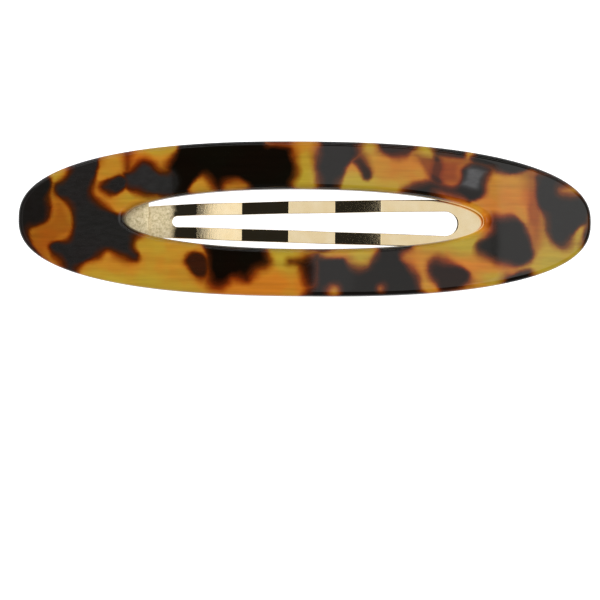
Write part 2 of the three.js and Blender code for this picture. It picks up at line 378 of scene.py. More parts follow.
def tongue_edges():
    """Matched outside and slot edges of the tongue, all the way round."""
    creases = [c[0] for c in CRIMPS if SLOT_TIP_X < c[0] < SLOT_ROOT_X]
    stations = set(np.linspace(SLOT_ROOT_X, SLOT_TIP_X, 170))
    for crease in creases:
        stations |= {crease + step for step in BEND_STEPS}
    stations = sorted(stations, reverse=True)
    rail_outer = across_at(TONGUE_EDGE, stations)
    taper = (SLOT_ROOT_RADIUS - SLOT_TIP_RADIUS) / (SLOT_ROOT_X - SLOT_TIP_X)
    rail_inner = [(x, SLOT_TIP_RADIUS + taper * (x - SLOT_TIP_X)) for x in stations]
    root_steps, tip_steps = 40, 40
    neck = across_at(TONGUE_EDGE, np.linspace(HEEL_EDGE, SLOT_ROOT_X, 60))
    root_outer = evenly([(HEEL_EDGE, 0)] + neck, root_steps)[:-1]
    root_inner = arc(SLOT_ROOT_X, SLOT_ROOT_RADIUS, 0, 90, root_steps)[:-1]
    cap = smooth_line(TIP_EDGE, 40)[:21]
    flank = across_at(TONGUE_EDGE, np.linspace(SLOT_TIP_X, TIP_EDGE[0][0], 20))
    tip_outer = evenly(flank + cap[1:], tip_steps)[1:]
    tip_inner = arc(SLOT_TIP_X, SLOT_TIP_RADIUS, 90, 180, tip_steps)[1:]
    outer = root_outer + rail_outer + tip_outer
    inner = root_inner + rail_inner + tip_inner
    return outer + mirrored(outer)[1:-1], inner + mirrored(inner)[1:-1]


def make_clip_tongue():
    vertices, faces = sheet_band(*tongue_edges(), crimped, STEEL, across=12)
    return new_object("clip_tongue_steel", vertices, faces, sharp_degrees=50)


# ---------------------------------------------------------------- eyelet and adhesive

EYELET_BARREL = 1.05
EYELET_BORE = 0.75
EYELET_FLANGE = 1.9
EYELET_HEAD = 0.2
EYELET_ROLL = 0.25
FILM_GAP = 0.01                 # bare film left in front of and behind an adhesive bead


def on_eyelet(r, turn, h):
    """A point r from the eyelet's axis and h along it, square to the bowed steel."""
    lean = EYELET_X / BOW_RADIUS
    seat_x, seat_z = bow(EYELET_X, 0)
    along = r * math.cos(turn)
    x = seat_x + along * math.cos(lean) + h * math.sin(lean)
    z = seat_z - along * math.sin(lean) + h * math.cos(lean)
    return x, CLIP_OFFSET_Y + r * math.sin(turn), z


def make_eyelet():
    head_back = FRONT_LAYER + LAYER_GAP
    head_front = head_back + EYELET_HEAD
    roll_front = LOWER_LAYER - STEEL - LAYER_GAP
    roll_back = roll_front - EYELET_ROLL
    section = [
        (EYELET_BORE, roll_back + 0.14), (EYELET_BORE + 0.06, roll_back + 0.04),
        (EYELET_BORE + 0.18, roll_back), (1.45, roll_back), (1.7, roll_back + 0.03),
        (1.84, roll_back + 0.09), (EYELET_FLANGE, roll_front - 0.06), (1.86, roll_front),
        (EYELET_BARREL, roll_front), (EYELET_BARREL, head_back), (1.82, head_back),
        (EYELET_FLANGE, head_back + 0.06), (1.84, head_front - 0.03), (1.7, head_front),
        (EYELET_BORE + 0.1, head_front), (EYELET_BORE, head_front - 0.1),
    ]
    around = 96
    turns = [2 * math.pi * k / around for k in range(around)]
    vertices = [on_eyelet(r, turn, h) for turn in turns for r, h in section]
    return new_object("eyelet_rolled", vertices, ring_faces(around, len(section), True), sharp_degrees=60)


def adhesive_pad(name, outer, inner):
    thickness = GLUE_LINE - 2 * FILM_GAP
    band = sheet_band(outer, inner, lambda x: -FILM_GAP, thickness, edge=0.15, across=6, closed=False)
    return new_object(name, *band, sharp_degrees=60)


def make_adhesives():
    stations = list(np.linspace(-17, 20, 120))
    outer = [(x, y - 0.35) for x, y in across_at(OUTSIDE_EDGE, stations)]
    inner = [(x, y + 0.35) for x, y in across_at(WINDOW_EDGE, stations)]
    rear = adhesive_pad("adhesive_bead_rear", outer, inner)
    flipped = [[(x, -y) for x, y in line] for line in (outer, inner)]
    front = adhesive_pad("adhesive_bead_front", *flipped)
    heel_bevel_painted_dark = smooth_line([(26.5, -4.2), (28.4, -3.1), (29.6, 0), (28.4, 3.1), (26.5, 4.2)], 60)
    heel_root = smooth_line([(26.35, -4.0), (26.9, 0), (26.35, 4.0)], 40)
    heel = adhesive_pad("adhesive_bead_heel", evenly(heel_bevel_painted_dark, 60), evenly(heel_root, 60))
    nose_rim = smooth_line([(-25.75, -3.35), (-28.6, -2.95), (-30.3, 0), (-28.6, 2.95), (-25.75, 3.35)], 60)
    round_eyelet = arc(EYELET_X, EYELET_FLANGE + 0.25, -50, -310, 60)
    nose = adhesive_pad("adhesive_bead_nose", evenly(nose_rim, 60), round_eyelet)
    return {
        "adhesive_leg_rear": rear, "adhesive_leg_front": front, "adhesive_heel": heel,
        "adhesive_nose": nose,
    }


# ---------------------------------------------------------------- node helpers

class Nodes:
    """A small helper that adds and links shader nodes."""

    def __init__(self, material):
        material.use_nodes = True
        self.tree = material.node_tree
        self.tree.nodes.clear()

    def add(self, kind, inputs=None, **settings):
        node = self.tree.nodes.new(kind)
        for key, value in settings.items():
            setattr(node, key, value)
        for key, value in (inputs or {}).items():
            self.set(node.inputs[key], value)
        return node

    def set(self, socket, value):
        if isinstance(value, bpy.types.NodeSocket):
            self.tree.links.new(value, socket)
        else:
            socket.default_value = value

    def math(self, operation, a, b=0.0, c=0.0):
        node = self.add("ShaderNodeMath", operation=operation)
        for socket, value in zip(node.inputs, (a, b, c)):
            self.set(socket, value)
        return node.outputs[0]

    def vector(self, operation, a, b=(0, 0, 0)):
        node = self.add("ShaderNodeVectorMath", operation=operation)
        self.set(node.inputs[0], a)
        if operation == "SCALE":
            self.set(node.inputs["Scale"], b)
        else:
            self.set(node.inputs[1], b)
        return node.outputs["Value" if operation == "LENGTH" else "Vector"]

    def millimetres(self):
        """Where on the piece the shaded spot is, in millimetres."""
        return self.vector("SCALE", self.add("ShaderNodeTexCoord").outputs["Object"], 1 / MM)

    def noise(self, where, scale, detail=2.0, roughness=0.5):
        inputs = {"Vector": where, "Scale": scale, "Detail": detail, "Roughness": roughness}
        return self.add("ShaderNodeTexNoise", inputs)

    def centred_noise(self, where, scale, detail, swing):
        """Noise about zero, swing from its lowest to its highest."""
        value = self.noise(where, scale, detail).outputs["Fac"]
        return self.math("MULTIPLY_ADD", value, swing, -swing / 2)

    def spread(self, value, low, high, new_low, new_high, kind="LINEAR"):
        inputs = {"Value": value, "From Min": low, "From Max": high, "To Min": new_low, "To Max": new_high}
        return self.add("ShaderNodeMapRange", inputs, interpolation_type=kind).outputs[0]

    def smooth_spread(self, value, low, high, new_low, new_high):
        return self.spread(value, low, high, new_low, new_high, "SMOOTHSTEP")

    def attribute(self, name):
        return self.add("ShaderNodeAttribute", attribute_name=name).outputs["Fac"]

    def mix(self, factor, a, b):
        node = self.add("ShaderNodeMix", data_type="RGBA")
        for name, value in (("Factor_Float", factor), ("A_Color", a), ("B_Color", b)):
            self.set(next(s for s in node.inputs if s.identifier == name), value)
        return next(s for s in node.outputs if s.identifier == "Result_Color")

    def ramp(self, factor, stops):
        node = self.add("ShaderNodeValToRGB")
        elements = node.color_ramp.elements
        while len(elements) < len(stops):
            elements.new(0.5)
        for element, (position, colour) in zip(elements, stops):
            element.position = position
            element.color = (*colour, 1)
        self.set(node.inputs[0], factor)
        return node.outputs["Color"]

    def finish(self, shader):
        output = self.add("ShaderNodeOutputMaterial")
        self.tree.links.new(shader.outputs[0], output.inputs["Surface"])


def srgb(code):
    """Linear colour from an sRGB hex code."""
    values = [int(code[k:k + 2], 16) / 255 for k in (0, 2, 4)]
    return tuple(v / 12.92 if v <= 0.04045 else ((v + 0.055) / 1.055) ** 2.4 for v in values)


# ---------------------------------------------------------------- tortoiseshell

# Dark patches of the acetate, in millimetres from the middle of the oval and level with the view.
# Each has an outline to be smoothed, how opaque it is and how much painted grey reflection lies on it at
# its darkest.
DARK_PATCHES = {
    "nose_rim": ([
        (-35.8, 6.2), (-35.3, 5), (-35.5, 3.5), (-35.3, 2.2), (-35.2, 1), (-35.7, -0.3), (-37.2, -1.1),
        (-38.2, -1.3), (-38, -2.3), (-37.4, -3.5), (-36.5, -4.7), (-35.9, -6.2), (-37.5, -7.5),
        (-40.5, -5), (-42, 0), (-41, 5), (-38, 7.5),
    ], 1, 0.15),
    "nose_mass": ([
        (-34.8, 3.2), (-34.9, 4.5), (-34.4, 5.3), (-33.2, 6.1), (-32.9, 7.2), (-33.2, 9), (-29, 10),
        (-28.7, 8.2), (-28.9, 6.5), (-29.4, 4.8), (-29.4, 3.5), (-28.5, 2.6), (-27.2, 1.5), (-26, 0.9),
        (-24.5, 0.5), (-22.6, -1.5), (-23.5, -2.9), (-23.6, -3.9), (-22.9, -5), (-23.3, -5.9),
        (-24.7, -5.6), (-26.2, -4.9), (-27.4, -4.4), (-28.6, -5.2), (-30.2, -5.9), (-31.5, -6.9),
        (-32, -8.5), (-34.6, -8.5), (-33.9, -6.9), (-34.1, -6), (-35.4, -4.7), (-35.8, -3.6),
        (-35, -2.8), (-33.2, -2.5), (-32.5, -1.2), (-32.6, 0.8), (-33.3, 2.1),
    ], 1, 0.3),
    "nose_shade": ([
        (-34.6, 4), (-33.6, 2.6), (-32.4, 0.5), (-32.5, -1.6), (-34, -2.8), (-35.6, -3.6),
        (-36.4, -5.6), (-38.5, -3), (-38, -0.9), (-36, -0.2), (-35.1, 1.6),
    ], 0.3, 0),
    "heel_shade": ([
        (30.6, 7), (30.8, 4), (31, 1), (31.2, -2), (31.6, -4), (33, -3), (33.2, 0), (32.4, 3),
        (32.4, 7),
    ], 0.35, 0),
    "rear_streaks": ([
        (14.8, 9.4), (16, 7.6), (17.4, 5.6), (20, 4.8), (21.6, 5), (21.8, 7), (22.6, 8.2), (20, 8.6),
        (17, 8.6),
    ], 0.4, 0),
    "oval_spot": ([
        (-28.6, 4.6), (-28.2, 3.8), (-27.1, 3.4), (-25.9, 3.6), (-25, 4.3), (-24.4, 5.4), (-25.3, 6.2),
        (-26.5, 5.9), (-28, 5.3),
    ], 1, 0.3),
    "thin_line": ([
        (-25.2, 9.8), (-25, 8), (-24.9, 6.6), (-24.3, 6.6), (-24.2, 8), (-24.2, 9.8),
    ], 0.75, 0),
    "rear_nose_grey": ([
        (-25.3, 6.3), (-24.4, 6.9), (-23.6, 7.5), (-22.5, 8.2), (-21.3, 7.8), (-20.6, 7.1),
        (-19.6, 6.7), (-18, 7.2), (-17, 5), (-18.3, 2.7), (-20.5, 3.35), (-22.2, 3.35), (-23.8, 3.7),
        (-24.8, 4.4),
    ], 1, 0.45),
    "rear_black": ([
        (-17.2, 12), (-17.5, 10), (-18.4, 8.6), (-19.2, 7.2), (-18.9, 5.5), (-18.7, 3), (-16.3, 2.8),
        (-15.9, 4.2), (-15.1, 5.5), (-14.2, 6), (-13.4, 5.5), (-12.7, 4.6), (-11.7, 3.6), (-11.1, 4.9),
        (-10, 5.3), (-8.6, 5.1), (-7.7, 4.4), (-7.4, 3.4), (-4.5, 3.3), (-1.7, 3.5), (-1.8, 4.7),
        (-1.2, 5.9), (-1.3, 7.3), (-1.7, 9), (-2.2, 10.1), (-5.2, 10.5), (-6, 12),
    ], 1, 0),
    "rear_top_brown": ([
        (-5.9, 12), (-5.4, 10.4), (-3.5, 10.1), (-2, 10), (-1.9, 12),
    ], 0.7, 0),
    "rear_grey": ([
        (2.2, 12), (2.1, 10.2), (1.5, 8.6), (1.4, 7.2), (1.8, 5.8), (1.9, 4.6), (1.9, 3.4), (4.6, 3.4),
        (4.8, 4.6), (5.3, 6), (5.9, 7.1), (6.7, 7.9), (7.5, 8.6), (7.6, 10), (7.9, 12),
    ], 1, 0.1),
    "slanting_streak": ([
        (6.4, 7.9), (7.3, 8.7), (8, 8.6), (8.7, 7.6), (9.3, 6.2), (9, 5.5), (8.3, 5.5), (7.8, 6.4),
        (7.2, 7.2),
    ], 0.9, 0),
    "rear_edge_short": ([
        (10, 12), (10.2, 10), (10.7, 9.2), (12, 8.6), (13.4, 8.6), (14.9, 9.2), (15.5, 10), (15.4, 12),
    ], 0.95, 0.1),
    "brown_column": ([
        (18.1, 9), (17.4, 7.8), (17.1, 6.6), (17.3, 5.4), (18.2, 4.6), (19.3, 4.7), (19.2, 5.8),
        (19.6, 7), (19.3, 8.4),
    ], 0.93, 0),
    "rear_edge_middle": ([
        (17.9, 12), (17.8, 9.6), (18.2, 8.6), (19.6, 8.3), (21.8, 8.2), (22.3, 8.7), (22, 12),
    ], 1, 0.1),
    "rear_edge_long": ([
        (23.4, 12), (23.6, 9.2), (23, 8.4), (23.6, 7.6), (25.2, 7.2), (27.2, 6.5), (28.8, 6.3),
        (31, 6.5), (33, 6), (35, 5.3), (37.4, 4.9), (39, 6), (34, 10), (28, 12),
    ], 1, 0),
    "rear_band": ([
        (13.5, 3.9), (14.4, 4.5), (15.6, 5), (17.2, 5.4), (18.8, 5.1), (20.3, 4.7), (21.2, 5),
        (21.6, 5.9), (21.5, 6.9), (22.6, 7.7), (24.4, 7.9), (26.2, 7.1), (25.6, 6.1), (25.1, 5),
        (25.1, 3.7), (24.5, 3), (23, 2.6), (22, 2), (18, 2.2), (14, 3),
    ], 1, 0),
    # Painted highlight: a strong grey reflection laid into the colour of this dark spot.
    "painted_highlight_spot": ([
        (22.4, 7.4), (24.3, 7.4), (25.6, 6.7), (24.8, 5.4), (24.3, 3.9), (22.8, 4), (21.4, 4.6),
        (22, 5.8),
    ], 1, 3.4),
    "heel_dark": ([
        (32, 6.5), (31.8, 4.8), (32, 3), (32.5, 1.4), (33.3, 0.2), (33.4, -1.4), (34, -2.5),
        (35.2, -3.6), (36.1, -3.8), (36.9, -3.2), (37.5, -1.9), (38.6, -0.9), (39.6, -0.5), (40, 2),
        (38.8, 3.8), (37.4, 3.5), (35.8, 3.7), (35.6, 4.3), (36.8, 5), (36, 7),
    ], 1, 0.15),
    # Painted dark reflection: the heel's outer bevel is darkened in its colour, standing in for the dark it
    # reflects.
    "heel_bevel_painted_dark": ([
        (38.9, -3.6), (38.9, -2), (39.3, 0), (39.1, 2.4), (38.2, 4.1), (40, 5), (42, 0), (40.6, -3.8),
    ], 1, 0),
    "round_spot": ([
        (26.3, 0.4), (27.6, 0.3), (28.8, 0.5), (30, 0), (31.1, -1.4), (31.8, -3), (31.9, -4.7),
        (31.2, -6.1), (29.2, -6.5), (27, -6), (25.3, -5.2), (24, -4.6), (23.8, -3.4), (25, -2.5),
        (25.8, -1.6), (25.8, -0.4),
    ], 1, 0),
    "front_edge_short": ([
        (27.8, -9.5), (27.9, -8), (29.2, -7.5), (30.8, -7), (31.5, -7.2), (31.6, -9),
    ], 1, 0),
    "front_brown_spot": ([
        (17.3, -6.1), (18.4, -5.5), (19.9, -5.9), (21.6, -6.6), (22.9, -7.5), (23, -8.6), (22, -9.5),
        (20.2, -10.3), (19, -10.3), (18, -9), (17.2, -7.8),
    ], 0.96, 0),
    "front_grey": ([
        (1.4, -5.2), (3.4, -5.5), (5.3, -5.6), (6.4, -6.5), (7.5, -7), (8.7, -6.7), (9.5, -5.4),
        (10.1, -4.2), (10.5, -3), (14.9, -2.9), (14.9, -4), (13.8, -4.6), (13.5, -5.6), (14.5, -6.5),
        (15.6, -8), (15.9, -9.5), (16.2, -12), (0.6, -12), (0.3, -9.8), (1.1, -9), (1.2, -7),
    ], 1, 0.05),
    "front_brown_edge": ([
        (-0.6, -5.7), (0.6, -5.2), (2, -5), (2.3, -6.8), (2, -8.8), (1.2, -9.8), (0.1, -9.4),
        (-0.3, -8), (-0.9, -6.6), (-2.1, -6.2), (-2.1, -5.7),
    ], 0.95, 0),
    "front_rim_line": ([
        (0.5, -4.3), (2, -4.55), (3.5, -4.4), (4.3, -3.8), (0.5, -3.6),
    ], 0.85, 0),
    "red_brown_spot": ([
        (-16.7, -5.9), (-16.2, -4.9), (-15.2, -4.5), (-14.1, -4.9), (-13.3, -6), (-13.3, -7.8),
        (-14.2, -8.4), (-15.2, -8), (-16, -7),
    ], 0.85, 0.1),
    "front_black": ([
        (-13.7, -3), (-13.6, -5), (-13.6, -7), (-13.3, -8.9), (-12.1, -9.6), (-10.9, -9.1), (-10, -8.2),
        (-8.9, -8.5), (-7.9, -8.9), (-7.2, -8), (-6.3, -7), (-5.1, -6.5), (-4.8, -5.8), (-5.3, -4.2),
        (-5.4, -3), (-9, -2.8),
    ], 1, 0),
}
# Flecks where the dark lets the amber through: centre x, y and radius.
AMBER_FLECKS = [(4.0, -10.1, 0.75), (10.5, -9.7, 0.35)]
# Places where the amber turns to orange, or with a negative strength to yellow:
# centre x, y, half-lengths and strength. The strongest, at (25.6, 0) on the heel end of the rim, is painted
# glow of light coming through the rim wall.
WARM_PLACES = [
    (12.8, 7.2, 4.5, 2.4, 0.8), (28.0, 3.4, 3.4, 3.6, 0.9), (-3.4, -9.2, 4.2, 1.5, 1.2),
    (23.5, -6.4, 4.0, 1.1, 0.9), (-18.0, -7.0, 6.0, 2.2, 0.35), (-34.4, -0.6, 2.4, 3.4, 0.25),
    (-10.5, -9.4, 3.0, 1.3, 1.0), (19.8, 6.0, 2.0, 2.0, 0.9), (15.0, -6.3, 2.4, 2.0, 0.6),
    (31.9, -1.5, 1.2, 4.0, 0.7), (-27.5, 2.6, 1.6, 1.4, 0.4), (-23.6, 8.4, 2.4, 1.2, 0.6),
    (25.6, 0.0, 1.0, 2.2, 1.6), (-27.0, -8.6, 6.0, 1.4, -1.0), (-20.5, 9.6, 3.0, 0.9, -0.9),
    (0.1, 6.2, 1.5, 3.0, -0.9), (7.2, 4.8, 2.2, 1.5, -1.0), (12.5, 4.3, 2.5, 1.0, -0.8),
    (34.5, -6.4, 3.5, 1.6, -0.9), (38.4, -4.2, 1.2, 2.2, -1.1), (26.2, -8.2, 2.0, 1.0, -0.9),
    (17.0, 9.5, 1.4, 0.9, -0.6), (8.0, -5.6, 1.6, 1.4, -0.9), (-3.2, -5.4, 1.6, 1.6, -0.8),
    (21.5, -3.6, 3.0, 0.8, -0.9), (-24.0, 3.0, 2.2, 0.7, -0.5), (-20.0, -4.5, 3.0, 1.0, -0.3),
]
PATTERN_TURN = 0.45             # degrees between the view's level and the cover's length
PATCH_REACH = 1.5               # how far past its outline a patch still counts
TONE_DEPTH = 0.7                # from this depth inwards, a patch's tone counts in full
TONE_SHARPNESS = 5              # how quickly one patch's tone gives way to the next
WARM_FALLOFF = 0.9
# Round the heel end of the opening the rim is clear of dark patches and carries a painted glow: how wide,
# and from which x.
CLEAR_COLLAR = 0.75
CLEAR_COLLAR_FROM = 19.0


def closed_curve(points, steps=6):
    """A smooth closed curve through the points, as an array of corners."""
    p = np.array(points, float)
    before = np.roll(p, 1, axis=0)
    after = np.roll(p, -1, axis=0)
    beyond = np.roll(p, -2, axis=0)
    rows = [between(p, after, (after - before) / 2, (beyond - p) / 2, f) for f in np.arange(steps) / steps]
    return np.stack(rows, axis=1).reshape(-1, 2)


def depth_inside(curve, x, y):
    """Signed distance to a closed curve in millimetres, positive inside."""
    nearest = np.full(x.shape, np.inf)
    inside = np.zeros(x.shape, bool)
    for (ax, ay), (bx, by) in zip(curve, np.roll(curve, -1, axis=0)):
        dx, dy = bx - ax, by - ay
        along = np.clip(((x - ax) * dx + (y - ay) * dy) / (dx * dx + dy * dy + 1e-12), 0, 1)
        nearest = np.minimum(nearest, np.hypot(x - ax - along * dx, y - ay - along * dy))
        if ay != by:
            inside ^= ((ay > y) != (by > y)) & (x < ax + (y - ay) / dy * dx)
    return np.where(inside, nearest, -nearest)


def record_pattern(piece):
    """Store at each vertex its depth in the dark patches, their opacity and painted grey reflection, the
    warmth and the painted glow round the rim.
    """
    mesh = piece.data
    places = np.empty(len(mesh.vertices) * 3)
    mesh.vertices.foreach_get("co", places)
    places = places.reshape(-1, 3) / MM
    roll = math.radians(PATTERN_TURN)
    x = places[:, 0] * math.cos(roll) + places[:, 1] * math.sin(roll)
    y = places[:, 1] * math.cos(roll) - places[:, 0] * math.sin(roll)
    depth = np.full(x.shape, -PATCH_REACH)
    weight = np.full(x.shape, 1e-9)
    opaque = np.zeros(x.shape)
    # grey gathers each patch's painted grey reflection, weighted like the opacity.
    grey = np.zeros(x.shape)
    for points, patch_opaque, patch_sheen in DARK_PATCHES.values():
        curve = closed_curve(points)
        left, low = curve.min(axis=0) - PATCH_REACH
        right, high = curve.max(axis=0) + PATCH_REACH
        near = np.nonzero((x > left) & (x < right) & (y > low) & (y < high))[0]
        patch_depth = depth_inside(curve, x[near], y[near])
        depth[near] = np.maximum(depth[near], patch_depth)
        share = np.exp(np.clip(patch_depth, -PATCH_REACH, TONE_DEPTH) * TONE_SHARPNESS)
        weight[near] += share
        opaque[near] += share * patch_opaque
        grey[near] += share * patch_sheen
    turns = np.linspace(0, 2 * math.pi, 181)[:-1]
    beyond_rim = -depth_inside(np.stack(opening(turns, 0), axis=1), places[:, 0], places[:, 1])
    collar = np.minimum(CLEAR_COLLAR - beyond_rim, (x - CLEAR_COLLAR_FROM) / 2)
    depth = np.minimum(depth, -collar)
    for fx, fy, radius in AMBER_FLECKS:
        depth = np.minimum(depth, np.hypot(x - fx, y - fy) - radius)
    warmth = np.zeros(x.shape)
    for cx, cy, half_x, half_y, strength in WARM_PLACES:
        away = ((x - cx) / half_x) ** 2 + ((y - cy) / half_y) ** 2
        warmth += strength * np.exp(-WARM_FALLOFF * away)
    # Painted light: the rim round the heel end of the opening glows, as if lit through the acetate.
    glow = np.clip(1 - np.abs(beyond_rim) / CLEAR_COLLAR, 0, 1)
    glow *= np.clip((x - CLEAR_COLLAR_FROM) / 3, 0, 1)
    attributes = {
        "dark_depth": depth, "dark_opaque": opaque / weight, "painted_reflection_grey": grey / weight, "warmth": warmth,
        "painted_rim_glow": glow,
    }
    for name, values in attributes.items():
        layer = mesh.attributes.new(name, "FLOAT", "POINT")
        layer.data.foreach_set("value", values.astype(np.float32))


def tortoiseshell():
    material = bpy.data.materials.new("tortoiseshell_acetate")
    nodes = Nodes(material)
    flat = nodes.millimetres()

    depth = nodes.attribute("dark_depth")
    ragged = nodes.centred_noise(flat, 0.45, 3, 0.8)
    fine = nodes.centred_noise(nodes.vector("MULTIPLY", flat, (1.0, 2.0, 1.0)), 1.6, 2, 0.16)
    depth = nodes.math("ADD", depth, nodes.math("ADD", ragged, fine))
    softness = nodes.spread(nodes.noise(flat, 0.25, 1).outputs["Fac"], 0.35, 0.65, 0.5, 1.5)
    edge = nodes.math("DIVIDE", depth, softness)
    dark = nodes.smooth_spread(edge, -1.0, 1.0, 0.0, 1.0)
    dark = nodes.math("MULTIPLY", dark, nodes.attribute("dark_opaque"))

    cloud = nodes.noise(flat, 0.16, 3, 0.55).outputs["Fac"]
    olive, amber, honey = (*srgb("988126"), 1), (*srgb("9C7320"), 1), (*srgb("A9641A"), 1)
    warmth = nodes.math("ADD", nodes.attribute("warmth"), nodes.spread(cloud, 0.35, 0.65, -0.5, 0.4))
    clear = nodes.mix(nodes.spread(warmth, -1.0, 0.0, 1.0, 0.0), amber, olive)
    near_dark = nodes.smooth_spread(edge, -2.4, -0.6, 0.0, 0.3)
    clear = nodes.mix(nodes.spread(nodes.math("ADD", warmth, near_dark), 0.0, 1.0, 0.0, 1.0), clear, honey)
    streak = nodes.noise(nodes.vector("MULTIPLY", flat, (0.1, 1.6, 0.6)), 1.0, 4, 0.6).outputs["Fac"]
    clear = nodes.vector("SCALE", clear, nodes.spread(streak, 0.3, 0.7, 0.82, 1.08))
    stain = nodes.ramp(dark, [
        (0.0, (1.0, 1.0, 1.0)), (0.2, (0.78, 0.6, 0.5)), (0.45, (0.4, 0.18, 0.14)),
        (0.7, (0.12, 0.055, 0.08)), (1.0, (0.008, 0.01, 0.045)),
    ])
    colour = nodes.vector("MULTIPLY", clear, stain)
    # Painted reflection: a grey sheen added to the colour over the darkest part of the patches.
    painted_sheen = nodes.math("MULTIPLY", nodes.spread(dark, 0.7, 1.0, 0.0, 1.0), nodes.attribute("painted_reflection_grey"))
    sheen_mottle = nodes.noise(nodes.vector("MULTIPLY", flat, (0.6, 1.5, 1.0)), 1.3, 3, 0.6).outputs["Fac"]
    painted_sheen = nodes.math("MULTIPLY", painted_sheen, nodes.spread(sheen_mottle, 0.3, 0.7, 0.8, 1.2))
    colour = nodes.vector("ADD", colour, nodes.vector("SCALE", (0.03, 0.03, 0.031), painted_sheen))

    polish = nodes.noise(nodes.vector("MULTIPLY", flat, (0.5, 9.0, 3.0)), 1.0, 3, 0.6).outputs["Fac"]
    waves = nodes.noise(nodes.vector("MULTIPLY", flat, (0.09, 0.35, 0.2)), 1.0, 1, 0.5).outputs["Fac"]
    relief = nodes.math("ADD", nodes.math("MULTIPLY", polish, 0.004), nodes.math("MULTIPLY", waves, 0.1))
    bump = nodes.add("ShaderNodeBump", {"Height": relief, "Strength": 0.35, "Distance": MM})
    shader = nodes.add("ShaderNodeBsdfPrincipled", {
        "Base Color": colour, "Roughness": 0.05, "IOR": 1.49, "Specular IOR Level": 0.4,
        # Emission paints that glow onto the heel end of the rim, though no lamp is there.
        "Emission Color": nodes.vector("SCALE", colour, nodes.attribute("painted_rim_glow")),
        "Emission Strength": 1.0, "Normal": bump.outputs[0],
    })
    nodes.finish(shader)
    return material


# ---------------------------------------------------------------- steel and adhesive

SATIN_NONE = -17.8              # where along the clip the satin finish begins, and where it is complete
SATIN_FULL = -19.1


def gold_steel(name):
    """Bright plated steel, turning to a stamped satin finish over the nose."""
    material = bpy.data.materials.new(name)
    nodes = Nodes(material)
    flat = nodes.millimetres()
    along = nodes.add("ShaderNodeSeparateXYZ", {"Vector": flat}).outputs["X"]
    blotch = nodes.centred_noise(flat, 1.3, 3, 1.2)
    satin = nodes.smooth_spread(nodes.math("ADD", along, blotch), SATIN_FULL, SATIN_NONE, 1.0, 0.0)
    tint = nodes.noise(flat, 0.5, 3).outputs["Fac"]
    bright = nodes.ramp(tint, [(0.3, srgb("F6DDAC")), (0.7, srgb("FBE7BE"))])
    speckle = nodes.noise(flat, 2.6, 4, 0.7).outputs["Fac"]
    dull = nodes.ramp(speckle, [(0.32, srgb("B3A478")), (0.5, srgb("DCCCA2")), (0.68, srgb("F0E4C4"))])
    colour = nodes.mix(satin, bright, dull)
    ripple = nodes.noise(nodes.vector("MULTIPLY", flat, (7.0, 0.7, 1.0)), 1.5, 3, 0.6).outputs["Fac"]
    gloss = nodes.spread(ripple, 0.3, 0.7, 0.05, 0.1)
    roughness = nodes.math("ADD", gloss, nodes.math("MULTIPLY", satin, 0.35))
    stamped = nodes.math("MULTIPLY", nodes.math("MULTIPLY", speckle, satin), 0.03)
    relief = nodes.math("ADD", nodes.math("MULTIPLY", ripple, 0.0015), stamped)
    bump = nodes.add("ShaderNodeBump", {"Height": relief, "Strength": 1.0, "Distance": MM})
    shader = nodes.add("ShaderNodeBsdfPrincipled", {
        "Base Color": colour, "Metallic": nodes.spread(satin, 0.0, 1.0, 1.0, 0.4),
        "Roughness": roughness, "Normal": bump.outputs[0],
    })
    nodes.finish(shader)
    return material


def cured_adhesive():
    material = bpy.data.materials.new("cured_adhesive")
    nodes = Nodes(material)
    flat = nodes.millimetres()
    cloud = nodes.noise(flat, 1.2, 3).outputs["Fac"]
    colour = nodes.ramp(cloud, [(0.3, srgb("D9CFB4")), (0.7, srgb("EDE6D2"))])
    bump = nodes.add("ShaderNodeBump", {"Height": cloud, "Strength": 0.3, "Distance": 0.1 * MM})
    shader = nodes.add("ShaderNodeBsdfPrincipled", {
        "Base Color": colour, "Roughness": 0.35, "Subsurface Weight": 0.3, "Subsurface Scale": 0.0005,
        "Normal": bump.outputs[0],
    })
    nodes.finish(shader)
    return material


# ---------------------------------------------------------------- build the pieces

def place_piece(piece, material, body, node):
    piece.data.materials.clear()
    piece.data.materials.append(material)
    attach(piece, body)
    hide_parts(node)


steel = gold_steel("gold_plated_steel")
shell = make_cover()
record_pattern(shell)
place_piece(shell, tortoiseshell(), "holder", "cover")
place_piece(make_clip_frame(), steel, "holder", "clip_frame")
place_piece(make_eyelet(), steel, "holder", "eyelet")
glue = cured_adhesive()
for node_name, bead in make_adhesives().items():
    place_piece(bead, glue, "holder", node_name)

tongue = make_clip_tongue()
tongue.data.materials.append(steel)
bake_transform(tongue)
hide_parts("clip_tongue")


# ---------------------------------------------------------------- camera

IMAGE_WIDTH_MM = 83.35          # width of the view in the plane of the cover
VIEW_DISTANCE = 420.0
VIEW_TILT = 2.6                 # degrees off straight down, from the -Y side
VIEW_ROLL = 0.45                # degrees
AIM = (-0.57, -11.2, 4.0)       # the middle of the view, in millimetres


def make_camera():
    data = bpy.data.cameras.new("camera")
    camera = bpy.data.objects.new("camera", data)
    bpy.context.scene.collection.objects.link(camera)
    data.sensor_width = 36.0
    data.lens = data.sensor_width * VIEW_DISTANCE / IMAGE_WIDTH_MM
    data.clip_start = 0.01
    data.clip_end = 10.0
    tilt = math.radians(VIEW_TILT)
    back = Vector((0, -math.sin(tilt), math.cos(tilt)))
    turn = Matrix.Rotation(tilt, 4, "X") @ Matrix.Rotation(math.radians(VIEW_ROLL), 4, "Z")
    turn.translation = (Vector(AIM) + back * VIEW_DISTANCE) * MM
    camera.matrix_world = turn
    bpy.context.scene.camera = camera


make_camera()


# ---------------------------------------------------------------- floor and light

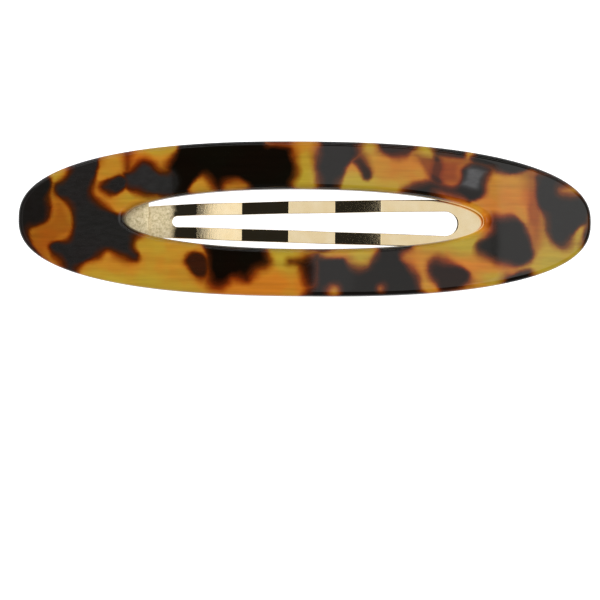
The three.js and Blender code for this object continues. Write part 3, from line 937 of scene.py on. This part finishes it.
def lit_material(name, strength, reflectance=0.0, mirrored=1.0):
    """An even white surface that glows and scatters some light, clear from behind.

    mirrored is the share of its brightness that reflections show.
    """
    material = bpy.data.materials.new(name)
    nodes = Nodes(material)
    in_mirror = nodes.add("ShaderNodeLightPath").outputs["Is Glossy Ray"]
    share = nodes.spread(in_mirror, 0.0, 1.0, 1.0, mirrored)
    shader = nodes.add("ShaderNodeBsdfPrincipled", {
        "Base Color": nodes.vector("SCALE", (reflectance, reflectance, reflectance), share),
        "Roughness": 1.0, "Specular IOR Level": 0.0, "Emission Color": (1, 1, 1, 1),
        "Emission Strength": nodes.math("MULTIPLY", share, strength),
    })
    clear = nodes.add("ShaderNodeBsdfTransparent")
    behind = nodes.add("ShaderNodeNewGeometry").outputs["Backfacing"]
    sided = nodes.add("ShaderNodeMixShader", {"Fac": behind})
    nodes.tree.links.new(shader.outputs[0], sided.inputs[1])
    nodes.tree.links.new(clear.outputs[0], sided.inputs[2])
    nodes.finish(sided)
    return material


def stage_plane(name, corners, material):
    mesh = bpy.data.meshes.new(name)
    mesh.from_pydata([[c * MM for c in p] for p in corners], [], [(0, 1, 2, 3)])
    mesh.materials.append(material)
    plane = bpy.data.objects.new(name, mesh)
    bpy.context.scene.collection.objects.link(plane)
    return plane


FLOOR_HALF = 1500.0
FLOOR_Z = -26.0                 # low enough to leave the open tongue in view
FLOOR_GLOW = 0.5
FLOOR_REFLECTANCE = 0.8
FLOOR_MIRRORED = 0.55           # keeps the steel's underside from turning plain white
stage_plane(
    "floor",
    [(-FLOOR_HALF, -FLOOR_HALF, FLOOR_Z), (FLOOR_HALF, -FLOOR_HALF, FLOOR_Z),
     (FLOOR_HALF, FLOOR_HALF, FLOOR_Z), (-FLOOR_HALF, FLOOR_HALF, FLOOR_Z)],
    lit_material("pale_floor", FLOOR_GLOW, FLOOR_REFLECTANCE, FLOOR_MIRRORED),
)

# Reflection cards hang overhead, side by side along X: name, start, end and strength.
CARD_HEIGHT = 250.0
CARD_HALF_DEPTH = 170.0
CARDS = [
    ("card_grey", -520.0, -270.0, 0.25),
    ("card_dark", -270.0, 4.5, 0.02),
    ("card_white", 4.5, 28.0, 1.02),
    ("card_pale", 28.0, 110.0, 0.82),
    ("card_bright", 112.0, 520.0, 1.35),
]
# Thin strips at the back draw the highlight lines along the cover's edges: name, y, bottom, top, strength.
STRIP_HALF_LENGTH = 600.0
STRIPS = [
    ("strip_back_low", 420.0, 55.0, 85.0, 4.0),
    ("strip_back_high", 420.0, 305.0, 345.0, 3.0),
]


def reflection_card(name, corners, strength):
    """A card that only reflections see."""
    card = stage_plane(name, corners, lit_material(name, strength))
    card.visible_camera = False
    card.visible_diffuse = False
    card.visible_shadow = False
    card.visible_transmission = False


for card_name, card_start, card_end, card_strength in CARDS:
    reflection_card(card_name, [
        (card_start, CARD_HALF_DEPTH, CARD_HEIGHT), (card_end, CARD_HALF_DEPTH, CARD_HEIGHT),
        (card_end, -CARD_HALF_DEPTH, CARD_HEIGHT), (card_start, -CARD_HALF_DEPTH, CARD_HEIGHT),
    ], card_strength)

for strip_name, strip_y, strip_low, strip_high, strip_strength in STRIPS:
    reflection_card(strip_name, [
        (-STRIP_HALF_LENGTH, strip_y, strip_low), (STRIP_HALF_LENGTH, strip_y, strip_low),
        (STRIP_HALF_LENGTH, strip_y, strip_high), (-STRIP_HALF_LENGTH, strip_y, strip_high),
    ], strip_strength)


def soft_light(name, position, size, power):
    data = bpy.data.lights.new(name, "AREA")
    data.shape = "SQUARE"
    data.size = size * MM
    data.energy = power
    light = bpy.data.objects.new(name, data)
    light.location = Vector(position) * MM
    light.rotation_mode = "QUATERNION"
    light.rotation_quaternion = (-light.location).to_track_quat("-Z", "Y")
    light.visible_glossy = False
    light.visible_camera = False
    bpy.context.scene.collection.objects.link(light)


soft_light("overhead_softbox", (60, 80, 700), 700, 5.2)
soft_light("side_softbox", (-500, -300, 450), 400, 1.5)

WORLD_FILL = 0.55
WORLD_REFLECTED = 0.08
world = bpy.data.worlds.new("studio")
world.use_nodes = True
tree = world.node_tree
tree.nodes.clear()
ray = tree.nodes.new("ShaderNodeLightPath")
fill = tree.nodes.new("ShaderNodeMapRange")
fill.inputs["To Min"].default_value = WORLD_FILL
fill.inputs["To Max"].default_value = WORLD_REFLECTED
background = tree.nodes.new("ShaderNodeBackground")
background.inputs["Color"].default_value = (0.95, 0.97, 1.0, 1)
tree.links.new(ray.outputs["Is Glossy Ray"], fill.inputs["Value"])
tree.links.new(fill.outputs["Result"], background.inputs["Strength"])
tree.links.new(background.outputs["Background"], tree.nodes.new("ShaderNodeOutputWorld").inputs["Surface"])
bpy.context.scene.world = world
bpy.context.scene.view_settings.view_transform = "Standard"
